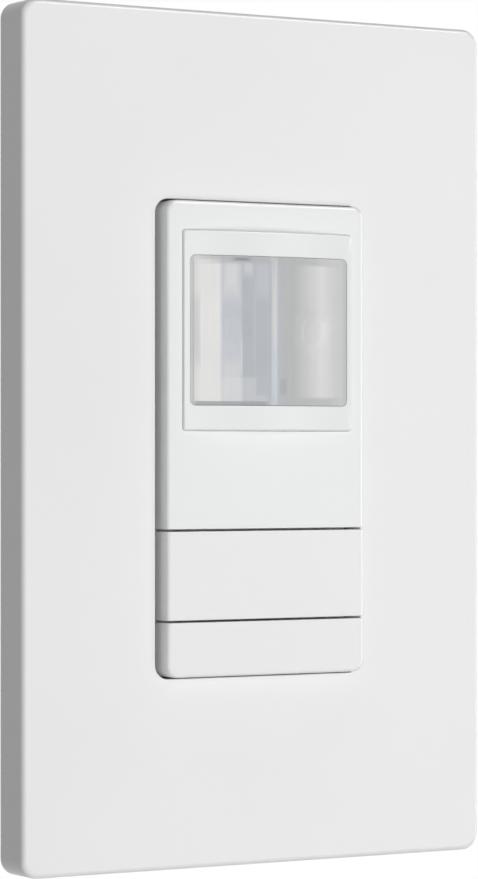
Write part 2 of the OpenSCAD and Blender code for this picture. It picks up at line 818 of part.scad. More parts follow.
module relay_cover() color("royalblue") translate([relay_x, 0, relay_z]) difference() {
    slab(relay_top, power_front - relay_seat_gap) square([relay_w, relay_h], center = true);
    slab(relay_top + relay_wall, power_front + past)
        square([relay_w - 2 * relay_wall, relay_h - 2 * relay_wall], center = true);
}

module relay_coil() color("peru") {
    back = yoke_foot_front - fit_gap;
    front = core_tip + bobbin_t;
    difference() {
        union() {
            rod(relay_x, relay_z, front, back, coil_r);
            rod(relay_x, relay_z, front, front + bobbin_t, bobbin_r);
            rod(relay_x, relay_z, back - bobbin_t, back, bobbin_r);
        }
        rod(relay_x, relay_z, front - past, back + past, core_r + fit_gap);
    }
}

module relay_core() color("gray") {
    rod(relay_x, relay_z, core_tip, relay_base_front, core_r);
    translate([relay_x - iron_w / 2, yoke_foot_front, relay_z - core_r])
        cube([iron_w, iron_t, yoke_z + iron_t - relay_z + core_r]);
    translate([relay_x - iron_w / 2, yoke_tip, yoke_z])
        cube([iron_w, relay_base_front - yoke_tip, iron_t]);
}

module relay_armature() color("gray") {
    translate([relay_x - iron_w / 2, armature_front, armature_end])
        cube([iron_w, iron_t, yoke_z + iron_t - armature_end]);
    translate([relay_x - contact_r, armature_back - blade_t, contact_z - contact_r])
        cube([2 * contact_r, blade_t, armature_end - contact_z + contact_r + past]);
    rod(relay_x, contact_z, armature_back - blade_t, armature_back + contact_t, contact_r);
}

module relay_contact() color("goldenrod") {
    tip = armature_back + contact_t + contact_gap;
    rod(relay_x, contact_z, tip, tip + contact_t, contact_r);
    translate([relay_x - contact_r, tip + contact_t - blade_t, contact_z - contact_r])
        cube([2 * contact_r, relay_base_front - tip - contact_t + blade_t, contact_t]);
}

module film_capacitor() color("gold")
    translate([film_x, power_front - film_d / 2, film_z])
        cube([film_w, film_d, film_h], center = true);

module smoothing_capacitor() color("darkslateblue")
    rod(smooth_x, row_z, power_front - smooth_d, power_front, smooth_r);

module surge_protector() color("steelblue") {
    centre_y = power_front - surge_stand - surge_r;
    translate([surge_x, centre_y, row_z - surge_t / 2]) cylinder(h = surge_t, r = surge_r);
    for (s = [-1, 1])
        rod(surge_x + s * surge_lead, row_z, centre_y, power_back + lead_through, pin_r);
}

module rear_housing() color("darkslategray") difference() {
    union() {
        difference() {
            slab(flange_t, body_d) rounded(body_w, body_h, body_r);
            slab(flange_t - past, floor_front)
                square([body_w - 2 * body_wall, body_h - 2 * body_wall], center = true);
        }
        // Columns for the housing screws, ledges for the sensor board, posts for the power board
        slab(flange_t, body_d) intersection() {
            at_case_screws() circle(column_r);
            rounded(body_w, body_h, body_r);
        }
        for (x = [-1, 1], z = [-1, 1])
            translate([x * (ledge_x + ledge_w / 2), (board_back + floor_front) / 2, z * ledge_z])
                cube([ledge_w, floor_front - board_back, ledge_h], center = true);
        for (x = [-1, 1], z = [-1, 1])
            rod(x * power_post_x, z * power_post_z, power_back, floor_front, power_post_r);
    }
    slab(flange_t - past, body_d + past) at_case_screws() circle(case_screw_r + case_screw_gap);
    slab(body_d - case_head_t, body_d + past)
        at_case_screws() circle(case_head_r + case_screw_gap);
    for (i = [-1 : 1])
        rod(i * lead_pitch, lead_z, floor_front - past, body_d + past, lead_hole_r + fit_gap);
}

module housing_screws() color("silver") {
    for (x = [-1, 1], z = [-1, 1]) difference() {
        union() {
            rod(x * case_screw_x, z * case_screw_z, strap_front, body_d - case_head_t,
                case_screw_r);
            rod(x * case_screw_x, z * case_screw_z, body_d - case_head_t, body_d, case_head_r);
        }
        mirror([0, 1, 0])
            drive(x * case_screw_x, z * case_screw_z, -body_d, case_screw_r);
    }
}

module lead_bushes() color("black") {
    for (i = [-1 : 1]) difference() {
        union() {
            rod(i * lead_pitch, lead_z, bush_front, bush_back, lead_hole_r);
            rod(i * lead_pitch, lead_z, body_d, bush_back, lead_hole_r + bush_flange);
        }
        rod(i * lead_pitch, lead_z, bush_front - past, bush_back + past, lead_r);
    }
}

cover_plate();
sub_plate();
sub_plate_screws();
strap();
box_screws();
front_housing();
lens_frame();
fresnel_lens();
sensor_cup();
detector_can();
detector_window();
detector_base();
sensor_board();
status_light();
daylight_cell();
control_chip();
on_off_button();
on_off_switch();
on_off_plunger();
lower_key();
lower_switch();
lower_plunger();
board_pins();
power_board();
relay_base();
relay_cover();
relay_coil();
relay_core();
relay_armature();
relay_contact();
film_capacitor();
smoothing_capacitor();
surge_protector();
rear_housing();
housing_screws();
lead_bushes();
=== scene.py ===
import json
import math

import bmesh
import bpy
from mathutils import Matrix, Vector

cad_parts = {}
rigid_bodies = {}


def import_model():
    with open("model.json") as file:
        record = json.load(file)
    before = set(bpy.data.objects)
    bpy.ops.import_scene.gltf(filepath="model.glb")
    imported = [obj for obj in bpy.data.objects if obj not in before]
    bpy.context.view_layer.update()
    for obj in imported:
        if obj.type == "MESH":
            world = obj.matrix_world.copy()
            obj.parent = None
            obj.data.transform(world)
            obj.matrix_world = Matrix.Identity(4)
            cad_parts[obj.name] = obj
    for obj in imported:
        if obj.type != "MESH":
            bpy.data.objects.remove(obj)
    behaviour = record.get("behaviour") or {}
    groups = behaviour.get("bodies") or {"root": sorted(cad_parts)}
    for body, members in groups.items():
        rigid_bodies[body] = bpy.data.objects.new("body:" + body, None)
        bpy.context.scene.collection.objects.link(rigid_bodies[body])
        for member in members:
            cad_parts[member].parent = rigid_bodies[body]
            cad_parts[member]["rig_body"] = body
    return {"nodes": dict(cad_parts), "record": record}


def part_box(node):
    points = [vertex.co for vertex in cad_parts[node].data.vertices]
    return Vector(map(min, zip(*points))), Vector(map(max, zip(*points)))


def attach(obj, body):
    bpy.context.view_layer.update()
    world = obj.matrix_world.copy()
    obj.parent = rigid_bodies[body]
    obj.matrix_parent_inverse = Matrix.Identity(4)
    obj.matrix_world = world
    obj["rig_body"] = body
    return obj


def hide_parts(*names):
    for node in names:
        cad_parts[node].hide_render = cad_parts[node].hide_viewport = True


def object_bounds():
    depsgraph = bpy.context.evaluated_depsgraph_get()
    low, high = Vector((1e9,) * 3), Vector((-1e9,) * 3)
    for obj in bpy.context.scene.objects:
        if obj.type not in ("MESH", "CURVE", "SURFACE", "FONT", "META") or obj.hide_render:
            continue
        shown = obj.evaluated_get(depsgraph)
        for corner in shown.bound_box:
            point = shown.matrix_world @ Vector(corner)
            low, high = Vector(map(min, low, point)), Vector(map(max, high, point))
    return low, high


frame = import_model()
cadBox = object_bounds()
nodes = frame["nodes"]
mm = 0.001  # pieces are modelled in millimetres and scaled once, when they are finished
weld = 0.0005  # in mm: vertices of a piece that are closer than this become one


# Colours are written as sRGB hex, and the shaders want linear
def hexToLinear(text):
    parts = [int(text[i:i + 2], 16) / 255 for i in (1, 3, 5)]
    return [p / 12.92 if p <= 0.04045 else ((p + 0.055) / 1.055) ** 2.4 for p in parts] + [1]


# Texture scale for a pattern whose features are this many millimetres apart
def perMm(size):
    return 1 / (size * mm)


# The same for a wave texture, whose angle grows by 20 in each unit of length
def bandsPerMm(size):
    return perMm(size) * 2 * math.pi / 20


# Adds a node with its settings, its values or links and, on a colour ramp, its stops
def addNode(tree, kind, inputs={}, stops=(), **settings):
    node = tree.nodes.new("ShaderNode" + kind)
    for name, value in settings.items():
        setattr(node, name, value)
    for name, value in inputs.items():
        if isinstance(value, bpy.types.NodeSocket):
            tree.links.new(value, node.inputs[name])
        else:
            node.inputs[name].default_value = value
    if stops:
        elements = node.color_ramp.elements
        while len(elements) < len(stops):
            elements.new(0.5)
        for element, (position, color) in zip(elements, stops):
            element.position = position
            element.color = hexToLinear(color)
    return node


# A material with one Principled shader; the constant values go straight onto its sockets
def newMaterial(name, color, **sockets):
    material = bpy.data.materials.new(name)
    material.use_nodes = True
    tree = material.node_tree
    tree.nodes.clear()
    values = {key.replace("_", " "): value for key, value in sockets.items()}
    shader = addNode(tree, "BsdfPrincipled", {"Base Color": hexToLinear(color), **values})
    addNode(tree, "OutputMaterial", {"Surface": shader.outputs["BSDF"]})
    place = addNode(tree, "TexCoord").outputs["Object"]
    material.diffuse_color = hexToLinear(color)
    return material, tree, shader, place


# Moulded thermoplastic: fine tool texture in bump and gloss, faint flow clouds in the colour
def mouldedPlastic(name, color, shade, grain, depth, roughness, ior=1.53):
    flow = {"cloudMm": 38, "shadeTo": 0.3, "colorFrom": 0.7, "spread": 0.05}
    material, tree, shader, place = newMaterial(name, color, IOR=ior)
    clouds = addNode(tree, "TexNoise", {"Vector": place, "Scale": perMm(flow["cloudMm"]), "Detail": 3,
                                        "Roughness": 0.55})
    tone = addNode(tree, "ValToRGB", {"Fac": clouds.outputs["Fac"]},
                   [(flow["shadeTo"], shade), (flow["colorFrom"], color)])
    tree.links.new(tone.outputs["Color"], shader.inputs["Base Color"])
    texture = addNode(tree, "TexNoise", {"Vector": place, "Scale": perMm(grain), "Detail": 4,
                                         "Roughness": 0.6})
    sheen = addNode(tree, "MapRange", {"Value": texture.outputs["Fac"],
                                       "To Min": roughness - flow["spread"],
                                       "To Max": roughness + flow["spread"]})
    tree.links.new(sheen.outputs["Result"], shader.inputs["Roughness"])
    bump = addNode(tree, "Bump", {"Height": texture.outputs["Fac"], "Strength": 0.5, "Distance": depth * mm})
    tree.links.new(bump.outputs["Normal"], shader.inputs["Normal"])
    return material


# Plated metal: soft blotches in colour and gloss, and drawn or rolled lines in the bump
def platedMetal(name, color, shade, roughness, lines, stretch, depth):
    plating = {"blotchMm": 7, "shadeTo": 0.32, "colorFrom": 0.68, "spread": 0.09}
    material, tree, shader, place = newMaterial(name, color, Metallic=1)
    blotch = addNode(tree, "TexNoise", {"Vector": place, "Scale": perMm(plating["blotchMm"]), "Detail": 5,
                                        "Roughness": 0.6})
    tone = addNode(tree, "ValToRGB", {"Fac": blotch.outputs["Fac"]},
                   [(plating["shadeTo"], shade), (plating["colorFrom"], color)])
    tree.links.new(tone.outputs["Color"], shader.inputs["Base Color"])
    sheen = addNode(tree, "MapRange", {"Value": blotch.outputs["Fac"],
                                       "To Min": roughness - plating["spread"],
                                       "To Max": roughness + plating["spread"]})
    tree.links.new(sheen.outputs["Result"], shader.inputs["Roughness"])
    drawn = addNode(tree, "Mapping", {"Vector": place, "Scale": stretch})
    scratch = addNode(tree, "TexNoise", {"Vector": drawn.outputs["Vector"], "Scale": perMm(lines),
                                         "Detail": 3})
    bump = addNode(tree, "Bump", {"Height": scratch.outputs["Fac"], "Strength": 0.4, "Distance": depth * mm})
    tree.links.new(bump.outputs["Normal"], shader.inputs["Normal"])
    return material


# Solder mask over copper on glass epoxy: tracks show as a paler green grid, with tinned pads in between
def solderMask(name):
    board = {"mask": "#0E4A26", "track": "#1D6B3B", "joint": "#0A3A1D", "pad": "#B9BCB8", "trackMm": 2.54,
             "padMm": 2.54, "padReach": 0.16, "trackRise": 0.03}
    material, tree, shader, place = newMaterial(name, board["mask"], Roughness=0.32, IOR=1.5,
                                                Coat_Weight=0.3)
    turned = addNode(tree, "Mapping", {"Vector": place, "Rotation": (math.pi / 2, 0, 0)})
    tracks = addNode(tree, "TexBrick", {
        "Vector": turned.outputs["Vector"], "Scale": perMm(board["trackMm"]),
        "Color1": hexToLinear(board["mask"]), "Color2": hexToLinear(board["joint"]),
        "Mortar": hexToLinear(board["track"]), "Mortar Size": 0.09, "Brick Width": 3.1, "Row Height": 1})
    dots = addNode(tree, "TexVoronoi", {"Vector": turned.outputs["Vector"], "Scale": perMm(board["padMm"]),
                                        "Randomness": 0.35})
    isPad = addNode(tree, "Math", {0: dots.outputs["Distance"], 1: board["padReach"]}, operation="LESS_THAN")
    mixed = addNode(tree, "Mix", {"Factor": isPad.outputs["Value"], 6: tracks.outputs["Color"],
                                  7: hexToLinear(board["pad"])}, data_type="RGBA")
    tree.links.new(mixed.outputs[2], shader.inputs["Base Color"])
    tree.links.new(isPad.outputs["Value"], shader.inputs["Metallic"])
    bump = addNode(tree, "Bump", {"Height": tracks.outputs["Fac"], "Strength": 0.4,
                                  "Distance": board["trackRise"] * mm})
    tree.links.new(bump.outputs["Normal"], shader.inputs["Normal"])
    return material


# Enamelled copper wire in close turns round the bobbin, with painted shade in the grooves between turns
def woundCopper(name):
    wire = {"wire": "#B5652F", "grooveShade": "#5B2A12", "wireMm": 0.35, "grooveDepth": 0.1}
    material, tree, shader, place = newMaterial(name, wire["wire"], Roughness=0.3, Metallic=0.8)
    turns = addNode(tree, "TexWave", {"Vector": place, "Scale": bandsPerMm(wire["wireMm"]),
                                      "Distortion": 0.4}, bands_direction="Y", wave_profile="SIN")
    # The grooves between turns get a darker colour as painted shade
    tone = addNode(tree, "ValToRGB", {"Fac": turns.outputs["Fac"]}, [(0, wire["grooveShade"]), (1, wire["wire"])])
    tree.links.new(tone.outputs["Color"], shader.inputs["Base Color"])
    bump = addNode(tree, "Bump", {"Height": turns.outputs["Fac"], "Strength": 0.8,
                                  "Distance": wire["grooveDepth"] * mm})
    tree.links.new(bump.outputs["Normal"], shader.inputs["Normal"])
    return material


# Light cell: a folded dark track on a pale ceramic face under clear epoxy
def resistiveCell(name):
    cell = {"face": "#D8C48A", "track": "#8A4A22", "trackMm": 0.55, "trackTo": 0.45, "faceFrom": 0.55}
    material, tree, shader, place = newMaterial(name, cell["face"], Roughness=0.18, IOR=1.55,
                                                Coat_Weight=0.6)
    folds = addNode(tree, "TexWave", {"Vector": place, "Scale": bandsPerMm(cell["trackMm"]),
                                      "Distortion": 1.2, "Detail Scale": 1.5}, bands_direction="Z")
    tone = addNode(tree, "ValToRGB", {"Fac": folds.outputs["Fac"]},
                   [(cell["trackTo"], cell["track"]), (cell["faceFrom"], cell["face"])])
    tree.links.new(tone.outputs["Color"], shader.inputs["Base Color"])
    return material


# Tinted clear resin or glass, a little cloudy inside
def tintedClear(name, color, shade, roughness, ior, through):
    hazeMm = 1.5
    material, tree, shader, place = newMaterial(name, color, Roughness=roughness, IOR=ior,
                                                Transmission_Weight=through)
    haze = addNode(tree, "TexNoise", {"Vector": place, "Scale": perMm(hazeMm), "Detail": 2})
    tone = addNode(tree, "ValToRGB", {"Fac": haze.outputs["Fac"]}, [(0, shade), (1, color)])
    tree.links.new(tone.outputs["Color"], shader.inputs["Base Color"])
    return material


# Milky polyethylene lens sheet with painted light and shade in its colour. Each half is cut in upright
# facets, painted as bands of warm white, cool grey and pale grey for how they take the light; a lower row of
# facets, the rib and what lies behind show through softly as painted tones
def milkyLens(name):
    tones = {"warmWhite": "#E4E4E2", "pale": "#DADADA", "middle": "#C8C9C9", "cool": "#C1C5CB",
             "blue": "#B2B6BD", "shade": "#B1B2B3", "sky": "#BFCAD6", "deep": "#999FA2", "dusk": "#85828F"}
    lens = {
        "halfWidth": 12.8, "streakMm": 0.55, "streakLength": 26, "cloudMm": 5,
        # where an upright facet starts or ends, in mm from the middle, and its tone of painted light and
        # shade
        "facets": [(-11.9, "pale"), (-11.3, "warmWhite"), (-8.5, "warmWhite"), (-8, "cool"), (-5.3, "cool"),
                   (-4.8, "blue"), (0.8, "blue"), (1.9, "shade"), (3.4, "shade"), (8.1, "pale"),
                   (11.4, "middle")],
        # painted light and shade laid on them: centre and half size in mm as x and z, tone, strength,
        # and softness of the edge
        "marks": [
            ((-6.7, 22.8), (1.8, 4.4), "pale", 0.8, 0.8),  # upper row, painted lighter
            ((-4.05, 24.3), (1.1, 2.4), "pale", 0.5, 0.7),
            ((-1.8, 22.5), (1.4, 4), "cool", 0.6, 0.6),
            ((-6.6, 6.5), (1.9, 6), "pale", 0.5, 0.5),  # lower row, painted light and shade
            ((-6.6, 6.9), (6.4, 1.9), "warmWhite", 0.28, 0.3),
            ((-1.7, 7.3), (1.4, 1.6), "blue", 0.85, 0.4),
            ((1.6, 7.3), (0.75, 1.5), "deep", 0.5, 0.5),
            ((-5.1, 11.6), (0.16, 3.2), "pale", 0.6, 0.6),  # painted highlights along the facet seams
            ((-3.05, 15), (0.14, 8), "cool", 0.5, 0.6),
            ((0, 25.1), (13, 1.1), "shade", 0.85, 0.6),  # painted shade along the top edge, and a painted shadow
            ((-6.6, 25.5), (6.5, 0.9), "shade", 0.6, 0.5),
            ((-5, 24.9), (1.9, 0.36), "dusk", 0.85, 0.8),
            ((0.1, 15), (0.8, 18), "pale", 0.7, 0.9),  # painted highlight on the rib, and a painted blue reflection low on it
            ((0.1, 9.6), (0.5, 4.6), "sky", 0.7, 0.5),
            ((-12.3, 15), (1.2, 6), "middle", 0.75, 0.5),  # painted shade along the sides
            ((-12.7, 15), (0.6, 18), "shade", 0.6, 0.4),
            ((12.75, 15), (0.95, 18), "shade", 0.6, 0.7),
            ((6.6, 5.1), (6.3, 1), "shade", 0.8, 0.7),  # painted shade along the bottom edge
            ((-6.6, 4.75), (6.3, 0.5), "deep", 0.9, 0.2)],
    }
    material, tree, shader, place = newMaterial(name, tones["cool"], Roughness=0.34, IOR=1.51)
    half = lens["halfWidth"]
    axes = addNode(tree, "SeparateXYZ", {"Vector": place})
    across = addNode(tree, "MapRange", {"Value": axes.outputs["X"], "From Min": -half * mm,
                                        "From Max": half * mm})
    facets = [((x + half) / (2 * half), tones[tone]) for x, tone in lens["facets"]]
    seen = addNode(tree, "ValToRGB", {"Fac": across.outputs["Result"]}, facets).outputs["Color"]
    # Each mark lays its painted light or shade over the facet bands
    for (x, z), (halfX, halfZ), tone, strength, soft in lens["marks"]:
        around = addNode(tree, "Mapping", {"Vector": place, "Location": (x * mm, 0, z * mm),
                                           "Scale": (halfX * mm, 1, halfZ * mm)}, vector_type="TEXTURE")
        away = addNode(tree, "VectorMath", {0: around.outputs["Vector"]}, operation="ABSOLUTE")
        sides = addNode(tree, "SeparateXYZ", {"Vector": away.outputs["Vector"]})
        reach = addNode(tree, "Math", {0: sides.outputs["X"], 1: sides.outputs["Z"]}, operation="MAXIMUM")
        shown = addNode(tree, "MapRange", {"Value": reach.outputs["Value"], "From Min": 1,
                                           "From Max": 1 - soft, "To Max": strength},
                        interpolation_type="SMOOTHSTEP")
        laid = addNode(tree, "Mix", {"Factor": shown.outputs["Result"], 6: seen,
                                     7: hexToLinear(tones[tone])}, data_type="RGBA")
        seen = laid.outputs[2]
    upright = addNode(tree, "Mapping", {"Vector": place, "Scale": (1, 1, 1 / lens["streakLength"])})
    streaks = addNode(tree, "TexNoise", {"Vector": upright.outputs["Vector"],
                                         "Scale": perMm(lens["streakMm"]), "Detail": 2})
    clouds = addNode(tree, "TexNoise", {"Vector": place, "Scale": perMm(lens["cloudMm"]), "Detail": 2})
    both = addNode(tree, "Math", {0: streaks.outputs["Fac"], 1: clouds.outputs["Fac"]}, operation="ADD")
    tint = addNode(tree, "MapRange", {"Value": both.outputs["Value"], "From Min": 0.6, "From Max": 1.4,
                                      "To Min": 0.97, "To Max": 1.03})
    shaded = addNode(tree, "VectorMath", {0: seen, "Scale": tint.outputs["Result"]}, operation="SCALE")
    tree.links.new(shaded.outputs["Vector"], shader.inputs["Base Color"])
    return material


materials = {
    # ABS, satin from a fine spark-eroded tool; the real grain is near 0.05 mm and is drawn coarser to show
    "white_cover": mouldedPlastic("satin moulded ABS", "#EDEDED", "#EAEAEA", grain=0.3, depth=0.004,
                                  roughness=0.3),
    # Polycarbonate blend of the insert, a shade cooler than the cover
    "white_fascia": mouldedPlastic("satin moulded polycarbonate", "#EBECEC", "#E9EAEA", grain=0.3,
                                   depth=0.004, roughness=0.3, ior=1.58),
    "white_key": mouldedPlastic("satin moulded key polycarbonate", "#ECECEC", "#E9E9E9", grain=0.3,
                                depth=0.004, roughness=0.3, ior=1.58),
    # Plain tool finish of the hidden white mouldings, with coarser marks
    "white_moulding": mouldedPlastic("plain moulded ABS", "#E2E2DF", "#DAD9D6", grain=0.5, depth=0.012,
                                     roughness=0.42),
    # Milky lens sheet, its colour painted with light and shade
    "milky_lens": milkyLens("milky polyethylene sheet with painted light and shade"),
    # Zinc on rolled steel strip: bluish, blotched, rolling lines along its length
    "zinc_strap": platedMetal("zinc plated rolled steel", "#CDD1D6", "#B7BCC2", roughness=0.34, lines=0.25,
                              stretch=(1, 1, 0.04), depth=0.006),
    # Zinc on turned steel
    "zinc_screw": platedMetal("zinc plated turned steel", "#C3C6C9", "#A9ADB1", roughness=0.3, lines=0.12,
                              stretch=(1, 1, 1), depth=0.004),
    # Nickel on a drawn can, bright with faint draw lines along its depth
    "nickel_can": platedMetal("nickel plated drawn steel", "#D6D2C8", "#C6C1B6", roughness=0.2, lines=0.15,
                              stretch=(1, 0.08, 1), depth=0.003),
    # Coated silicon window, nearly black with a dull violet cast
    "dark_filter": tintedClear("coated silicon window", "#2A2630", "#1B1A22", roughness=0.12, ior=3.4,
                               through=0),
    "circuit_board": solderMask("solder mask on glass epoxy"),
    # Diffused epoxy of a small light
    "red_diode": tintedClear("diffused red epoxy", "#C93A2C", "#B02A20", roughness=0.25, ior=1.53,
                             through=0.4),
    "pale_cell": resistiveCell("resistive cell under clear epoxy"),
    # Glass-filled nylon of switches, chip and relay base
    "black_moulding": mouldedPlastic("black glass filled nylon", "#26272A", "#1D1E20", grain=0.4,
                                     depth=0.012, roughness=0.5),
    # Thin gold on brass, warm and bright
    "gilt_pin": platedMetal("gilt brass", "#E0C078", "#CFA85A", roughness=0.24, lines=0.15,
                            stretch=(1, 0.08, 1), depth=0.003),
    # Polyester of the relay's shell, an even satin blue
    "relay_shell": mouldedPlastic("blue moulded PBT", "#2C5EA6", "#264F8E", grain=0.4, depth=0.01,
                                  roughness=0.4),
    "copper_winding": woundCopper("enamelled copper winding"),
    # Soft iron with a dull nickel flash, ground faces
    "soft_iron": platedMetal("nickel flashed soft iron", "#A9AAAC", "#8F9093", roughness=0.42, lines=0.3,
                             stretch=(0.05, 1, 1), depth=0.006),
    # Polyester box of the film capacitor, satin yellow
    "yellow_box": mouldedPlastic("yellow moulded polyester", "#D6B23C", "#C9A22F", grain=0.5, depth=0.012,
                                 roughness=0.38),
    # Shrunk sleeve over an aluminium can
    "sleeved_can": mouldedPlastic("shrunk sleeve", "#2A2E48", "#232741", grain=0.9, depth=0.01,
                                  roughness=0.3),
    # Dipped epoxy, wavy and glossy
    "blue_epoxy": mouldedPlastic("dipped epoxy", "#2B57A0", "#244A8C", grain=1.6, depth=0.05,
                                 roughness=0.22),
    # Charcoal flame-retardant ABS from a coarse spark-eroded tool
    "charcoal_housing": mouldedPlastic("spark eroded charcoal ABS", "#3C3E42", "#35373A", grain=0.45,
                                       depth=0.03, roughness=0.55),
    # Soft elastomer, dull
    "black_bush": mouldedPlastic("soft elastomer", "#1E1E20", "#18181A", grain=0.6, depth=0.015,
                                 roughness=0.62, ior=1.5),
}
print("materials:", len(materials))


def boxMm(node):
    low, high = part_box(node)
    return low / mm, high / mm


# Where a corner of an outline is: low and high are (x, z), side is the corner's sign in x and z
def cornerAt(low, high, side):
    return (high[0] if side[0] > 0 else low[0]), (high[1] if side[1] > 0 else low[1])


# Skin through a row of outlines square to y, each (low, high, corner radius, y): the first is four vertices
# with rounded corners, and each of the others is an extrusion of the one before, moved corner by corner
def skin(bm, outlines, segments):
    low, high, radius, y = outlines[0]
    corners = [bm.verts.new((x, y, z)) for x, z in (low, (high[0], low[1]), high, (low[0], high[1]))]
    bm.faces.new(corners)
    made = bmesh.ops.bevel(bm, geom=corners, offset=radius, affect="VERTICES", segments=segments,
                           profile=0.5, material=-1)
    first = made["verts"][0].link_faces[0]
    rings = [list(first.edges)]
    bmesh.ops.delete(bm, geom=[first], context="FACES_ONLY")
    for (oldLow, oldHigh, oldRadius, _), (low, high, radius, y) in zip(outlines, outlines[1:]):
        made = bmesh.ops.extrude_edge_only(bm, edges=rings[-1])
        fresh = {v for v in made["geom"] if isinstance(v, bmesh.types.BMVert)}
        middle = (oldLow[0] + oldHigh[0]) / 2, (oldLow[1] + oldHigh[1]) / 2
        grow = radius / oldRadius
        for v in fresh:
            side = math.copysign(1, v.co.x - middle[0]), math.copysign(1, v.co.z - middle[1])
            oldX, oldZ = cornerAt(oldLow, oldHigh, side)
            newX, newZ = cornerAt(low, high, side)
            inX = (v.co.x - oldX + side[0] * oldRadius) * grow - side[0] * radius
            inZ = (v.co.z - oldZ + side[1] * oldRadius) * grow - side[1] * radius
            v.co = newX + inX, y, newZ + inZ
        rings.append([e for e in bm.edges if e.verts[0] in fresh and e.verts[1] in fresh])
    return rings


# Outline of this width and height about the middle, with its corner radius and depth
def outline(size, radius, y, z=0):
    return (-size[0] / 2, z - size[1] / 2), (size[0] / 2, z + size[1] / 2), radius, y


def grown(size, by):
    return size[0] + 2 * by, size[1] + 2 * by


def roll(bm, edges, radius, segments):
    bmesh.ops.bevel(bm, geom=edges, offset=radius, offset_type="OFFSET", affect="EDGES", segments=segments,
                    profile=0.5, material=-1, clamp_overlap=False, loop_slide=True)


# Cuts a mesh along a plane; with clear, what lies past the plane goes and the cut is closed
def cutAt(bm, spot, away, clear=False):
    everything = list(bm.verts) + list(bm.edges) + list(bm.faces)
    cut = bmesh.ops.bisect_plane(bm, geom=everything, dist=0.0001, plane_co=spot, plane_no=away,
                                 clear_outer=clear)
    if clear:
        bmesh.ops.edgeloop_fill(bm, edges=[e for e in cut["geom_cut"] if isinstance(e, bmesh.types.BMEdge)])


# Spins a profile of (radius, depth) points about a spot's y axis in whole turns, with a lead as a helix
def spinProfile(bm, spot, profile, turns, steps, lead=0):
    verts = [bm.verts.new(spot + Vector((radius, depth, 0))) for radius, depth in profile]
    edges = [bm.edges.new(pair) for pair in zip(verts, verts[1:])]
    bmesh.ops.spin(bm, geom=verts + edges, cent=spot, axis=(0, 1, 0), dvec=(0, lead / steps, 0),
                   angle=2 * math.pi * turns, steps=steps * turns, use_merge=lead == 0)
    bmesh.ops.remove_doubles(bm, verts=bm.verts, dist=weld)


# Moves the mesh of one bmesh into another
def joinInto(bm, part):
    loose = bpy.data.meshes.new("loose")
    part.to_mesh(loose)
    part.free()
    bm.from_mesh(loose)
    bpy.data.meshes.remove(loose)


# Writes a bmesh out as a finished piece: outward normals, real size, material, body and replaced node
def toPiece(bm, name, node, smoothAngle=50):
    bmesh.ops.remove_doubles(bm, verts=bm.verts, dist=weld)
    bmesh.ops.recalc_face_normals(bm, faces=bm.faces)
    bmesh.ops.scale(bm, vec=(mm, mm, mm), verts=bm.verts)
    mesh = bpy.data.meshes.new(name)
    bm.to_mesh(mesh)
    bm.free()
    for polygon in mesh.polygons:
        polygon.use_smooth = True
    mesh.set_sharp_from_angle(angle=math.radians(smoothAngle))
    piece = bpy.data.objects.new(name, mesh)
    bpy.context.scene.collection.objects.link(piece)
    weigh = piece.modifiers.new("even faces", "WEIGHTED_NORMAL")
    weigh.keep_sharp = True
    weigh.weight = 80
    slotName = next(s["material_slot"] for s in frame["record"]["subparts"] if s["node"] == node)
    mesh.materials.append(materials[slotName])
    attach(piece, nodes[node]["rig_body"])
    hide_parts(node)
    print("piece:", name, len(mesh.polygons), "faces")


